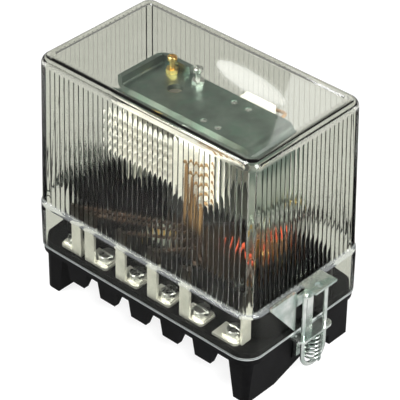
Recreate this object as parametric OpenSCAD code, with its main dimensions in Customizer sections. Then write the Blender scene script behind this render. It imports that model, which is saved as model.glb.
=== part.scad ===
// Intermediate relay with a clear fluted cover on a black moulded base.
// Origin: centre of the four feet, on the surface that the relay stands on. X runs along the relay,
// Z points up through the cover's top.

/* [Cover] */
// Length of the cover's skirt
skirt_l = 128; // [126:0.5:134]
// Width of the cover's skirt
skirt_w = 75; // [73:0.5:80]
// Height of the skirt, from its bottom edge to the shoulder
skirt_h = 23.3; // [22:0.1:28]
// Wall of the skirt
skirt_wall = 1.6; // [1.2:0.1:1.8]
// Corner radius of the skirt
skirt_corner_r = 9; // [7:0.5:11]
// Rounding of the shoulder on top of the skirt
shoulder_r = 1.1; // [0.6:0.1:1.2]
// Step in from the skirt to the fluted walls
ledge = 1.35; // [1.2:0.05:1.6]
// Height of the cover above the shoulder
body_h = 75; // [74:0.5:90]
// Lean of each fluted wall, from the shoulder to the top
draft = 1.35; // [0.5:0.05:1.6]
// Wall of the cover above the shoulder
cover_wall = 1.6; // [1.2:0.1:1.8]
// Corner radius of the fluted walls
cover_corner_r = 6; // [5:0.5:9]
// Rounding of the cover's top rim
rim_r = 4.5; // [3:0.5:5.5]
// Distance from flute to flute
flute_pitch = 2.9; // [2.4:0.1:4]
// Depth of the flutes
flute_depth = 0.45; // [0.2:0.05:0.6]

/* [Base] */
// Height of the shelf's underside above the feet
shelf_z = 21.8; // [20:0.2:26]
// Thickness of the shelf that the skirt stands on
shelf_t = 3.2; // [2.6:0.1:4]
// Step in from the skirt's face to the shelf's edge
shelf_step = 0.6; // [0.4:0.1:0.8]
// Height of the terminal ledge above the shelf
plateau_h = 3; // [2:0.1:4]
// Gap between the terminal ledge and the inside of the skirt
skirt_gap = 0.5; // [0.3:0.1:0.8]
// Distance from each end of the terminal ledge to the walled well that holds the magnet
well_end = 1.4; // [0.8:0.1:2]
// Width of the terminal ledge on each side of the well
terminal_ledge_w = 10.2; // [10:0.1:13]
// Height of the well's wall above the terminal ledge
well_h = 17.5; // [12:0.5:19]
// Wall of the well
well_wall = 1.5; // [1.2:0.1:1.5]
// Corner radius of the well
well_corner_r = 8; // [5:0.5:10]
// Thickness of an end wall where it meets the shelf
end_wall_top = 12; // [10:0.5:14]
// Thickness of an end wall at the feet
end_wall_foot = 7.5; // [6:0.5:9]
// Lean of an end wall's outer face
end_wall_lean = 1; // [0:0.25:2]
// Step in from the skirt's end to the end wall
end_wall_step = 2.5; // [2:0.25:4]
// Step in from each side of the skirt to the feet
foot_step = 3.5; // [1.5:0.5:5]
// Width of each foot on the side that carries the longer arch
long_foot_w = 18; // [14:0.5:20]
// Width of each foot on the other side
short_foot_w = 13; // [10:0.5:16]
// Height of the arch between the feet
arch_h = 6; // [4:0.5:10]
// Depth of the ribs that hang from the shelf
rib_h = 8; // [5:0.5:12]
// Width of a rib where it meets the shelf
rib_top_w = 12; // [10:0.5:13]
// Width of a rib at its lower edge
rib_foot_w = 8.9; // [6:0.1:10]
// Depth of a rib from front to back where it meets the shelf
rib_top_d = 6; // [4:0.25:8]
// Depth of a rib from front to back at its lower edge
rib_foot_d = 2.7; // [2:0.1:4]
// Radius of the two holes that take the panel screws
panel_hole_r = 2.25; // [1.75:0.05:2.75]
// Distance of each panel hole from the end wall's outer face
panel_hole_inset = 11; // [10:0.5:12.5]
// Depth of the panel holes
panel_hole_h = 16; // [10:0.5:22]

/* [Terminals] */
// Distance from each end of the terminal ledge to the first terminal screw
terminal_end = 14.65; // [14.2:0.05:16]
// Shift of each row from the middle of the ledge, towards the row's right-hand end
terminal_shift = 2; // [0:0.25:2.5]
// Gap between two neighbouring lugs whose legs face each other
lug_gap = 2.5; // [1.5:0.1:4]
// Depth of a lug's tongue
tongue_d = 8.2; // [7.8:0.1:8.6]
// Thickness of the lug strip
lug_t = 1.2; // [0.8:0.1:1.4]
// Width of a lug's upright leg
leg_w = 5.6; // [4:0.1:6]
// Height of the legs' tops above the terminal ledge
leg_h = 26; // [22:0.5:30]
// Gap between the legs and the inside of the cover
leg_gap = 0.5; // [0.4:0.05:0.8]
// Radius of a terminal screw's shank
terminal_screw_r = 2; // [1.5:0.1:2.2]
// Radius of a terminal screw's head
terminal_head_r = 3.5; // [3.2:0.1:3.8]
// Height of a terminal screw's head
terminal_head_h = 2.6; // [2:0.1:3]
// Length of a clamping washer, along the row
washer_l = 8.2; // [7.5:0.1:8.4]
// Width of a clamping washer, across the row
washer_d = 6.6; // [6:0.1:6.8]
// Thickness of a clamping washer
washer_t = 1; // [0.6:0.1:1.2]

/* [Magnet] */
// Thickness of the frame strap
frame_t = 2.5; // [2:0.1:3]
// Width of the frame strap
frame_w = 27.5; // [25:0.5:29]
// Offset of the frame strap's middle line to the back
frame_shift = 0.75; // [0:0.25:1]
// Place of the frame leg's outer face along the relay
frame_x = 41; // [39:0.5:42]
// Length of the frame's top plate
frame_top_l = 75; // [70:0.5:78]
// Depth of the top plate's upper face below the cover's top
plate_drop = 13.3; // [13:0.1:16]
// Height of the bent-up end above the top plate
lip_h = 4; // [3:0.5:8]
// Radius of the large hole in the top plate
top_hole_r = 3.5; // [2.5:0.25:4.5]
// Place of the coil's axis along the relay
coil_x = 12; // [10:0.5:13]
// Gap between the bobbin's flanges and the wall of the well
flange_clear = 0.5; // [0.4:0.1:3]
// Thickness of the bobbin's flanges
flange_t = 2; // [1.5:0.1:3]
// Height of the contact stacks above the armature, which sets the coil's length
stack_clear = 3.4; // [3:0.1:6]
// How far the bobbin's flanges stand out beyond the winding
winding_step = 2; // [1.5:0.1:5]
// Radius of the bobbin's tube
tube_r = 10; // [9:0.25:12]
// Radius of the core
core_r = 8; // [6:0.25:8.5]
// Thickness of the armature
armature_t = 2.5; // [2:0.1:3]
// Width of the armature
armature_w = 24; // [20:0.5:25]
// Gap between the core and the armature at rest
air_gap = 1.2; // [0.8:0.1:1.4]
// Height of the armature's turned-down end
armature_lip = 8; // [6:0.5:10]
// Radius of the hinge pin
pin_r = 1.5; // [1:0.1:1.75]
// Clearance between the hinge pin and the armature's knuckle
pin_gap = 0.05; // [0.02:0.01:0.1]

/* [Contacts] */
// Thickness of a contact spring
blade_t = 0.6; // [0.4:0.05:0.8]
// Thickness of a white spacer between the springs
spacer_t = 4.4; // [4.2:0.1:4.6]
// Length of the clamped stack along the relay
stack_l = 16; // [14:0.5:18]
// Width of a contact spring
blade_w = 8; // [7:0.25:9]
// Width of a fixed contact spring beside the card
fixed_w = 5; // [4:0.25:5.5]
// Free length of a contact spring
blade_free_l = 40; // [36:0.5:42]
// Distance of the springs' outer edges from the middle of the relay
stack_reach = 22; // [21:0.25:23]
// Thickness of the card that moves the springs
card_t = 2; // [1.5:0.1:2.5]
// Gap above and below a moving spring in the card's notch
notch_gap = 0.25; // [0.1:0.05:0.3]
// Radius of the return spring's coil, to the middle of its wire
spring_mean_r = 2.4; // [1.8:0.1:2.6]
// Radius of the return spring's wire
spring_wire_r = 0.4; // [0.25:0.05:0.5]
// Turns of the return spring
spring_turns = 14; // [8:1:16]
// Radius of a contact rivet
rivet_r = 1.6; // [1:0.1:2]
// Height of a contact rivet's face above its spring
rivet_h = 1; // [0.8:0.1:1.1]

/* [Latches] */
// Radius of the bail wire
wire_r = 1; // [0.8:0.05:1.1]
// Distance between the bail's legs
bail_w = 14; // [13:0.5:15]
// Distance of the bail from the skirt's end face
bail_out = 4; // [3.8:0.1:4.6]
// Height of the bail's bow above the feet
bail_z = 6.4; // [5:0.2:8]
// Thickness of the latch sheet
sheet_t = 1.2; // [1:0.1:1.4]
// Width of the bracket's flange
flange_w = 21; // [20:0.5:22]
// Reach of the bracket's flange beyond the skirt
flange_out = 6.7; // [6.4:0.1:8]
// Coil radius of the latch spring, to the middle of its wire
latch_spring_r = 3.2; // [2.6:0.1:3.4]
// Radius of the latch spring's wire
latch_spring_wire_r = 0.5; // [0.35:0.05:0.6]
// Turns of the latch spring
latch_spring_turns = 6; // [4:1:8]

/* [Hidden] */
$fn = 48;
eps = 0.01;
// Extra length of a cut beyond each face
cut = 1;
// Clearance round a screw or pin that is fixed in its hole
hole_gap = 0.02;

// Heights
z_skirt = shelf_z + shelf_t;
z_floor = z_skirt + plateau_h;
z_ledge = z_skirt + skirt_h;
z_top = z_ledge + body_h;
z_rim = z_top - rim_r;
z_leg = z_floor + leg_h;
z_foot = z_floor + frame_t;
z_plate = z_top - plate_drop;
z_plate_low = z_plate - frame_t;

// Cover
body_l = skirt_l - 2 * ledge;
body_w = skirt_w - 2 * ledge;
function cover_l(z) = body_l - 2 * draft * (z - z_ledge) / body_h;
function cover_w(z) = body_w - 2 * draft * (z - z_ledge) / body_h;
flute_steps = 3;
corner_steps = 6;

// Base
base_l = skirt_l - 2 * shelf_step;
base_w = skirt_w - 2 * shelf_step;
plateau_l = skirt_l - 2 * (skirt_wall + skirt_gap);
plateau_w = skirt_w - 2 * (skirt_wall + skirt_gap);
plateau_r = skirt_corner_r - skirt_wall - skirt_gap;
well_l = plateau_l - 2 * well_end;
well_w = plateau_w - 2 * terminal_ledge_w;
end_x = skirt_l / 2 - end_wall_step;
foot_w = skirt_w - 2 * foot_step;
panel_hole_spacing = 2 * (end_x - panel_hole_inset);
foot_corner_r = 4;
arch_run = 18;
arch_step = 1;
rib_count = 5;
pillar_r = 6;

// Terminals
terminal_count = 6;
terminal_pitch = (plateau_l - 2 * terminal_end) / (terminal_count - 1);
tongue_end = 4.6;
tongue_l = tongue_end + (terminal_pitch - lug_gap) / 2;
lug_hole_gap = 0.15;
head_edge = 0.4;
screw_edge = 0.3;
leg_face = cover_w(z_leg) / 2 - cover_wall - leg_gap;
terminal_y = leg_face - lug_t - screw_edge - washer_d / 2;
terminal_screw_depth = 5;
leg_middle = tongue_l - tongue_end - leg_w / 2;
slot_w = 1;
slot_d = 1;

// Magnet
bend_r = 1;
frame_y0 = frame_shift - frame_w / 2;
frame_y1 = frame_shift + frame_w / 2;
leg_x = frame_x - frame_t;
flange_r = well_w / 2 - well_wall - flange_clear;
winding_r = flange_r - winding_step;
blade_count = 5;
blade_pitch = spacer_t + blade_t;
stack_h = blade_count * blade_pitch + spacer_t;
z_stack = z_plate_low - stack_h;
z_arm = z_stack - stack_clear - armature_t;
z_face = z_arm - air_gap;
face_step = 1.5;
z_bobbin = z_face - face_step;
bobbin_h = z_bobbin - z_foot;
bobbin_gap = 0.2;
core_edge = 1;
core_edge_in = 0.5;
z_pin = z_arm + armature_t / 2;
knuckle_wall = 1.5;
knuckle_r = pin_r + knuckle_wall;
pin_over = 0.8;
knuckle_gap = 0.5;
pin_x = frame_x + knuckle_gap + knuckle_r;
tail_w = 17;
window_gap = 1.2;
window_side = 0.5;
ear_t = 2.5;
ear_over = 0.6;
spigot_r = 5;
foot_screw_r = 1.5;
foot_screw_step = 5.5;
foot_screw_x = coil_x - flange_r - foot_screw_step;
foot_edge = 4.5;
foot_end = foot_screw_x - foot_edge;
foot_screw_y = 8;
foot_head_r = 2.75;
foot_head_h = 1.8;
board_head_r = 2.5;
board_head_h = 1.6;
// How far a screw's end stays short of the far side of its hole
screw_short = 0.3;
arm_step = 5.5;
arm_end = foot_screw_x - arm_step;
arm_clear = 2;
arm_neck = 3;
top_end = frame_x - frame_top_l;
lip_back = 17;
lip_corner_r = 5;
top_hole_x = -13.3;
top_hole_y = 0.4;

// Contact stacks
stack_shift = 4;
stack_x = coil_x + stack_shift;
stack_end = stack_x - stack_l / 2;
stack_inner = 5.5;
spacer_over = 0.5;
stack_screw_y = 9.5;
stack_screw_r = 1.5;
stack_head_r = 2.75;
stack_head_h = 1.4;
sleeve_r = 2.3;
tail_l = 5;
tail_d = 4.2;
blade_tip = stack_end - blade_free_l;
contact_end = 2.5;
contact_x = blade_tip + contact_end;
contact_y = stack_reach - fixed_w / 2;
function blade_z(i) = z_stack + spacer_t + i * blade_pitch;
moving_blades = [1, 3];

// Card and adjusting screws
card_x = arm_end - card_t;
card_clear = 1;
card_reach = stack_reach - fixed_w - card_clear;
notch_clear = 0.7;
notch_d = blade_w - fixed_w - notch_clear;
card_drop = 2;
card_top = z_plate_low - card_drop;
card_screw_y = 7;
card_screw_up = 2.6;
card_head_r = 2.2;
card_head_h = 1.3;
stop_y = 9.2;
stop_x = arm_end - card_t / 2;
spring_step = 13.2;
spring_x = arm_end + spring_step;
spring_y = 10;
adjust_r = 1.25;
adjust_rise = 8;
head_top = z_plate + adjust_rise;
nut_h = 2;
nut_flats = 5;
hook_drop = 9;
hook_z = z_plate_low - hook_drop;
adjust_head_h = 1.8;
adjust_head_r = 2.2;
card_low = z_arm + armature_t - armature_lip;
spring_hook = 4.5;
spring_up = 3.2;
spring_in = 2;
spring_z = z_arm + armature_t + spring_up;
spring_l = hook_z + spring_in - spring_hook - spring_z;
spring_hole_r = 0.7;
spring_bore_r = 0.55;
spring_bore_h = 3;
stop_gap = 0.3;
rivet_shank_r = 0.8;
rivet_tail_r = 1.2;
rivet_tail_h = 0.3;
rest_gap = 0.3;
rest_rivet_h = (spacer_t - rest_gap) / 2;

// Latches
latch_x = skirt_l / 2 + bail_out;
flange_gap = 0.3;
z_flange = z_skirt - flange_gap;
hook_gap = 1.3;
z_axis = z_ledge + flange_gap - hook_gap;
pillar_x = skirt_l / 2 + flange_gap;
flange_x = skirt_l / 2 + flange_out;
flange_corner_r = 3;
bail_gap = 0.1;
locating_in = 5.4;
locating_edge = 2.2;
locating_r = 0.7;
strap_w = 4;
bar_top = 46;
bar_h = 5;
bar_reach = 9.5;
ear_reach = 25;
ear_low = 28;
ear_top = 49;
ear_tip_h = 2;
stub_end = 3;
elbow_r = 1.5;
knuckle_l = 2.2;
hook_bite = 1.05;
hook_in = skirt_l / 2 - hook_bite;
hook_reach = 4.5;
hook_out = latch_x + hook_reach;
hook_hole_in = 3.1;
hook_hole_r = 1.9;
hook_pin_gap = 0.05;
knuckle_t = 1;
hook_y0 = -5.2;
hook_y1 = 8.5;
bow_rise = bail_w / 2 - wire_r - sqrt(pow(bail_w / 2 - wire_r, 2) - pow(latch_spring_r, 2));

// Bracket screw in each end wall
tab_w = 9;
tab_low = 10;
tab_screw_z = 15;
tab_screw_r = 1.5;
tab_screw_l = 6;
tab_head_r = 2.7;
tab_head_h = 1.2;
pad_step = 1;
pad_w = tab_w + 2 * pad_step;
pad_z = tab_low - pad_step;
clip = 1.4;

// Leads
lead_r = 0.7;
coil_lead_r = 1;
lead_out = 3.2;
lead_y = stack_reach + lead_out;
lead_pitch = 2.2;
lead_drop = 3;
lead_bend = 4;
bend_steps = 3;
// How far a lead sinks into what it is soldered to
solder = 0.01;
// Ends of a lead on a lug's leg, below the leg's top
lead_top = 1;
lead_foot = 6;
lead_clear = 0.3;
tail_back = 1;
tail_edge = 1.5;
lead_sag = 1;
board_t = 1.5;
board_h = 16;
board_depth = 27.5;
board_z = z_bobbin - board_depth;
tag_t = 0.6;
tag_w = 4.5;
tag_y = [-8.5, 3.5];
tag_h = 12;
board_screw_y = (tag_y[0] + tag_y[1]) / 2;
tag_up = 2;
tag_out = 3;
// Distance of a lead from the middle of its tag
tag_pair = 1.2;
// Where the coil's leads leave the winding: angle from the X axis, and depth below the bobbin's top
exit_angle = 35.8;
exit_depth = 10;
// Steps from the middle of each tag's end to the turns of the lead that goes to a lug
front_sweep = [[2.5, -3, 8], [5, -12, 4]];
rear_sweep = [[2, 2, 9], [1, 14, 6]];

// A slab with round corners, centred on the Z axis
module slab(l, w, r, h) {
    linear_extrude(h) {
        square([l - 2 * r, w], center = true);
        square([l, w - 2 * r], center = true);
        for (x = [-1, 1], y = [-1, 1])
            translate([x * (l / 2 - r), y * (w / 2 - r)]) circle(r);
    }
}

// Places its children at the four corners of an l by w outline, inset by r
module corners(l, w, r) {
    for (x = [-1, 1], y = [-1, 1])
        translate([x * (l / 2 - r), y * (w / 2 - r), 0]) children();
}

// A disc of radius r and height h whose upper edge is rounded by edge
module domed_disc(r, h, edge) {
    rotate_extrude($fn = 4 * corner_steps)
        polygon(concat(
            [[0, 0], [r, 0]],
            [for (i = [0:corner_steps])
                [r - edge + edge * cos(90 * i / corner_steps), h - edge + edge * sin(90 * i / corner_steps)]],
            [[0, h]]));
}

// How far point i of a row of flutes lies behind their crests
function flute_dip(i) = flute_depth * (1 - sin(180 * (i % flute_steps) / flute_steps));

// Points of one fluted wall of length l, at distance d from the middle, turned by angle
function fluted_wall(l, d, angle) =
    let (last = round(l / flute_pitch) * flute_steps)
    [for (i = [0:last])
        let (along = i * l / last - l / 2, out = d - flute_dip(i))
        [out * cos(angle) - along * sin(angle), out * sin(angle) + along * cos(angle)]];

// Points of a fluted corner of radius r, without its two ends
function fluted_corner(cx, cy, r, from) =
    let (last = round(PI * r / 2 / flute_pitch) * flute_steps)
    [for (i = [1:last - 1])
        let (angle = from + 90 * i / last, out = r - flute_dip(i))
        [cx + out * cos(angle), cy + out * sin(angle)]];

// Outline of the fluted walls and corners at the shoulder
function fluted_outline() =
    let (
        r = cover_corner_r,
        a = body_l / 2 - r,
        b = body_w / 2 - r)
    concat(
        fluted_wall(2 * b, body_l / 2, 0), fluted_corner(a, b, r, 0),
        fluted_wall(2 * a, body_w / 2, 90), fluted_corner(-a, b, r, 90),
        fluted_wall(2 * b, body_l / 2, 180), fluted_corner(-a, -b, r, 180),
        fluted_wall(2 * a, body_w / 2, 270), fluted_corner(a, -b, r, 270));

// Rings of points round a path, and the mesh that joins them into a round wire
module wire(path, r, sides) {
    last = len(path) - 1;
    rings = [for (i = [0:last])
        let (
            ahead = path[min(i + 1, last)] - path[max(i - 1, 0)],
            along = ahead / norm(ahead),
            across = cross(along, abs(along[2]) > 0.95 ? [1, 0, 0] : [0, 0, 1]),
            side = across / norm(across),
            up = cross(side, along))
        for (k = [0:sides - 1])
            path[i] + r * (cos(360 * k / sides) * side + sin(360 * k / sides) * up)];
    walls = [for (i = [0:last - 1], k = [0:sides - 1])
        [i * sides + k, i * sides + (k + 1) % sides,
         (i + 1) * sides + (k + 1) % sides, (i + 1) * sides + k]];
    caps = [[for (k = [sides - 1:-1:0]) k], [for (k = [0:sides - 1]) last * sides + k]];
    polyhedron(rings, concat(walls, caps));
}

// A lead through a list of points, with each inner corner rounded by a curve of bend_steps pieces
module lead(points, r) {
    last = len(points) - 1;
    path = concat(
        [points[0]],
        [for (i = [1:last - 1])
            let (
                back = points[i - 1] - points[i],
                ahead = points[i + 1] - points[i],
                reach = min(lead_bend, norm(back) / 2.2, norm(ahead) / 2.2),
                from = points[i] + back / norm(back) * reach,
                to = points[i] + ahead / norm(ahead) * reach)
            for (k = [0:bend_steps])
                let (t = k / bend_steps)
                (1 - t) * (1 - t) * from + 2 * t * (1 - t) * points[i] + t * t * to],
        [points[last]]);
    wire(path, r, 8);
}

// A coil of round wire that winds up from z = 0, with its ends led in to the middle if hooks is above zero
module wire_coil(r, wire_r, turns, height, hooks = 0) {
    steps = 14;
    count = turns * steps;
    wire(concat(
        hooks > 0 ? [[0, 0, -hooks], [0, 0, -hooks / 3]] : [],
        [for (i = [0:count])
            [r * cos(360 * i / steps), r * sin(360 * i / steps), height * i / count]],
        hooks > 0 ? [[0, 0, height + hooks / 3], [0, 0, height + hooks]] : []), wire_r, 6);
}

module hex_nut(flats, hole, h) {
    difference() {
        cylinder(d = flats / cos(30), h = h, $fn = 6);
        translate([0, 0, -eps]) cylinder(r = hole, h = h + 2 * eps);
    }
}

// A cheese-head screw that points down, with the underside of its head at z = 0
module slotted_screw(head_r, head_h, r, l) {
    difference() {
        union() {
            cylinder(r = head_r, h = head_h - head_edge);
            translate([0, 0, head_h - head_edge - eps])
                cylinder(r1 = head_r, r2 = head_r - head_edge, h = head_edge + eps);
        }
        translate([0, 0, head_h - slot_d / 2 + eps]) cube([3 * head_r, slot_w, slot_d], center = true);
    }
    translate([0, 0, -l]) cylinder(r = r, h = l + eps);
}

// The size given to resize is the cover's own, so it only turns the whole cover into one mesh
module cover() {
    color("#d8dccb", 0.35) resize([skirt_l, skirt_w, skirt_h + body_h]) difference() {
        union() {
            translate([0, 0, z_skirt]) hull()
                corners(skirt_l, skirt_w, skirt_corner_r) domed_disc(skirt_corner_r, skirt_h, shoulder_r);
            translate([0, 0, z_ledge - eps])
                linear_extrude(z_rim - z_ledge + 2 * eps, slices = 1,
                    scale = [cover_l(z_rim) / body_l, cover_w(z_rim) / body_w])
                    polygon(fluted_outline());
            translate([0, 0, z_rim]) hull()
                corners(cover_l(z_rim), cover_w(z_rim), cover_corner_r)
                    domed_disc(cover_corner_r, rim_r, rim_r);
        }
        translate([0, 0, z_skirt - eps])
            slab(skirt_l - 2 * skirt_wall, skirt_w - 2 * skirt_wall, skirt_corner_r - skirt_wall,
                skirt_h - cover_wall);
        hull() {
            inner_r = cover_corner_r - cover_wall;
            translate([0, 0, z_ledge - cover_wall - 1])
                corners(body_l - 2 * cover_wall, body_w - 2 * cover_wall, inner_r)
                    cylinder(r = inner_r, h = 1, $fn = 4 * corner_steps);
            translate([0, 0, z_rim])
                corners(cover_l(z_rim) - 2 * cover_wall, cover_w(z_rim) - 2 * cover_wall, inner_r)
                    domed_disc(inner_r, rim_r - cover_wall, rim_r - cover_wall);
        }
    }
}

// One end wall of the base with its two feet, at the right end
module end_wall() {
    intersection() {
        slab(2 * end_x, foot_w, foot_corner_r, z_skirt);
        translate([0, foot_w / 2, 0]) rotate([90, 0, 0]) linear_extrude(foot_w)
            polygon([
                [end_x - end_wall_lean, 0], [end_x, shelf_z + eps],
                [end_x - end_wall_top, shelf_z + eps], [end_x - end_wall_lean - end_wall_foot, 0]]);
        rotate([90, 0, 90]) linear_extrude(end_x + eps) difference() {
            translate([-foot_w / 2, 0]) square([foot_w, z_skirt]);
            polygon([
                [long_foot_w - foot_w / 2, -eps], [long_foot_w - foot_w / 2 + arch_run, arch_h],
                [foot_w / 2 - short_foot_w - arch_step, arch_h], [foot_w / 2 - short_foot_w, -eps]]);
        }
    }
}

// A tapered rib that hangs from the shelf, with its outer face on the XZ plane
module rib() {
    intersection() {
        rotate([90, 0, 0]) translate([0, 0, -rib_top_d]) linear_extrude(rib_top_d)
            polygon([
                [-rib_foot_w / 2, -rib_h], [rib_foot_w / 2, -rib_h],
                [rib_top_w / 2, eps], [-rib_top_w / 2, eps]]);
        translate([-rib_top_w / 2, 0, 0]) rotate([90, 0, 90]) linear_extrude(rib_top_w)
            polygon([[0, -rib_h], [rib_foot_d, -rib_h], [rib_top_d, eps], [0, eps]]);
    }
}

// Places its children at each terminal screw: the front row, then the rear row turned about the Z axis
module terminal_places() {
    for (side = [0, 180], i = [0:terminal_count - 1])
        rotate([0, 0, side]) translate([terminal_x(i), -terminal_y, 0]) children();
}

function terminal_x(i) = (i - (terminal_count - 1) / 2) * terminal_pitch + terminal_shift;

module base() {
    color("#17181a") difference() {
        union() {
            translate([0, 0, shelf_z]) slab(base_l, base_w, skirt_corner_r - shelf_step, shelf_t);
            translate([0, 0, z_skirt - eps]) slab(plateau_l, plateau_w, plateau_r, plateau_h + eps);
            translate([0, 0, z_floor - eps]) difference() {
                slab(well_l, well_w, well_corner_r, well_h + eps);
                slab(well_l - 2 * well_wall, well_w - 2 * well_wall, well_corner_r - well_wall, well_h + cut);
            }
            for (side = [0, 1]) mirror([side, 0, 0]) {
                end_wall();
                translate([panel_hole_spacing / 2, 0, 0]) cylinder(r = pillar_r, h = shelf_z + eps);
                translate([end_x - end_wall_top / 2, -pad_w / 2, pad_z])
                    cube([end_wall_top / 2, pad_w, shelf_z - pad_z + eps]);
            }
            for (side = [0, 180], i = [0:rib_count - 1])
                rotate([0, 0, side])
                    translate([(i - (rib_count - 1) / 2) * terminal_pitch, -base_w / 2, shelf_z]) rib();
        }
        for (side = [-1, 1]) {
            translate([side * panel_hole_spacing / 2, 0, -cut])
                cylinder(r = panel_hole_r, h = panel_hole_h + cut);
            translate([side * (end_x + skirt_l / 4), 0, shelf_z + shelf_t / 2])
                cube([skirt_l / 2, flange_w + 1, shelf_t + eps], center = true);
            translate([side * end_x, 0, tab_screw_z]) rotate([0, -side * 90, 0])
                translate([0, 0, -eps]) cylinder(r = tab_screw_r + hole_gap, h = tab_screw_l + cut);
        }
        terminal_places()
            translate([0, 0, z_floor - terminal_screw_depth])
                cylinder(r = terminal_screw_r + hole_gap, h = terminal_screw_depth + cut);
        for (y = [-1, 1])
            translate([foot_screw_x, y * foot_screw_y + frame_shift, z_floor - terminal_screw_depth])
                cylinder(r = foot_screw_r + hole_gap, h = terminal_screw_depth + cut);
    }
}

// A lug with its screw hole on the Z axis. Its leg stands at the front corner on the side given, and on
// the end lug of a row at the tongue's other end, turned a quarter round.
module lug(side, is_end) {
    color("#c9c8bd") mirror([side > 0 ? 1 : 0, 0, 0]) translate([0, 0, z_floor]) difference() {
        union() {
            translate([tongue_end - tongue_l, terminal_y - leg_face, 0]) cube([tongue_l, tongue_d, lug_t]);
            if (is_end)
                translate([tongue_end - eps, terminal_y - leg_face + tongue_d - leg_w, 0])
                    cube([lug_t + eps, leg_w, leg_h]);
            else
                translate([tongue_end - tongue_l, terminal_y - leg_face, 0]) cube([leg_w, lug_t, leg_h]);
        }
        translate([0, 0, -eps]) cylinder(r = terminal_screw_r + lug_hole_gap, h = lug_t + cut);
        translate([tongue_end, terminal_y - leg_face, lug_t / 2]) rotate([0, 0, 45])
            cube([clip, clip, lug_t + 1], center = true);
    }
}

// The leg stands on the left of its screw, and on the right at the first terminal of a row
function leg_side(i) = i == 0 ? 1 : -1;
function is_end_lug(i) = i == terminal_count - 1;

// Place of a lead of radius r on the leg of terminal i in the front row: X, and distance from the middle
function lead_place(i, r) = is_end_lug(i)
    ? [terminal_x(i) + tongue_end - r + solder, leg_face - tongue_d + leg_w / 2]
    : [terminal_x(i) + leg_side(i) * leg_middle, leg_face - lug_t - r + solder];

module terminal_lug(i) {
    place = (i - 1) % terminal_count;
    rotate([0, 0, i > terminal_count ? 180 : 0])
        translate([terminal_x(place), -terminal_y, 0]) lug(leg_side(place), is_end_lug(place));
}

module terminal_screws() {
    color("#c4c9c6") terminal_places()
        translate([0, 0, z_floor + lug_t + washer_t])
            slotted_screw(terminal_head_r, terminal_head_h, terminal_screw_r,
                lug_t + washer_t + terminal_screw_depth);
}

module terminal_washers() {
    color("#d3d3c9") terminal_places()
        translate([0, 0, z_floor + lug_t]) difference() {
            translate([0, 0, washer_t / 2]) cube([washer_l, washer_d, washer_t], center = true);
            translate([0, 0, -eps]) cylinder(r = terminal_screw_r + lug_hole_gap, h = washer_t + cut);
        }
}

// A quarter of a bent strip, centred on a bend's middle, in the quadrant given by the signs
module bend(x, z, sx, sz) {
    r = bend_r + frame_t;
    translate([x, z]) intersection() {
        difference() {
            circle(r);
            circle(bend_r);
        }
        translate([sx > 0 ? 0 : -r, sz > 0 ? 0 : -r]) square(r);
    }
}

module frame_profile() {
    r = bend_r + frame_t;
    translate([foot_end, z_floor]) square([frame_x - r - foot_end, frame_t]);
    translate([leg_x, z_floor + r]) square([frame_t, z_plate - z_floor - 2 * r]);
    translate([top_end + r, z_plate_low]) square([frame_top_l - 2 * r, frame_t]);
    translate([top_end, z_plate_low + r]) square([frame_t, z_plate + lip_h - z_plate_low - r]);
    bend(frame_x - r, z_floor + r, 1, -1);
    bend(frame_x - r, z_plate - r, 1, 1);
    bend(top_end + r, z_plate_low + r, -1, -1);
}

// An ear on the frame's leg that holds one end of the hinge pin
module ear() {
    rotate([90, 0, 0]) linear_extrude(ear_t) {
        translate([pin_x, z_pin]) circle(knuckle_r + ear_over);
        translate([leg_x + frame_t / 2, z_pin - knuckle_r - ear_over])
            square([pin_x - leg_x - frame_t / 2, 2 * (knuckle_r + ear_over)]);
    }
}

module frame() {
    color("#77807a") difference() {
        union() {
            translate([0, frame_y1, 0]) rotate([90, 0, 0]) linear_extrude(frame_w) frame_profile();
            translate([top_end + frame_t / 2, frame_y1 - frame_t, z_plate_low])
                cube([lip_back, frame_t, lip_h + frame_t]);
            translate([0, frame_y0 + ear_t, 0]) ear();
            translate([0, frame_y1, 0]) ear();
        }
        translate([top_end - eps, frame_y1 + eps, z_plate - frame_t - 1]) rotate([0, 0, -90]) difference() {
            cube([lip_corner_r, lip_corner_r, lip_h + 2 * frame_t]);
            translate([lip_corner_r, lip_corner_r, -1]) cylinder(r = lip_corner_r, h = lip_h + 3 * frame_t);
        }
        translate([leg_x - cut, -tail_w / 2 - window_side, z_arm - window_gap])
            cube([frame_t + 2 * cut, tail_w + 2 * window_side, armature_t + 2 * window_gap]);
        translate([pin_x, frame_y0 - cut, z_pin]) rotate([-90, 0, 0])
            cylinder(r = pin_r + hole_gap, h = frame_w + 2 * cut);
        translate([coil_x, 0, z_floor - cut]) cylinder(r = spigot_r + hole_gap, h = frame_t + 2 * cut);
        for (y = [-1, 1]) {
            translate([foot_screw_x, y * foot_screw_y + frame_shift, z_floor - cut])
                cylinder(r = foot_screw_r + hole_gap, h = frame_t + 2 * cut);
            for (x = [-1, 1])
                translate([stack_x + x * stack_l / 4, y * stack_screw_y, z_plate_low - cut])
                    cylinder(r = stack_screw_r + hole_gap, h = frame_t + 2 * cut);
        }
        translate([top_hole_x, top_hole_y, z_plate_low - cut])
            cylinder(r = top_hole_r, h = frame_t + 2 * cut);
        for (place = [[stop_x, stop_y], [spring_x, spring_y]])
            translate([place[0], place[1], z_plate_low - cut])
                cylinder(r = adjust_r + hole_gap, h = frame_t + 2 * cut);
        translate([leg_x - cut, board_screw_y, board_z + board_h / 2]) rotate([0, 90, 0])
            cylinder(r = foot_screw_r + hole_gap, h = frame_t + 2 * cut);
    }
}

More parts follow.
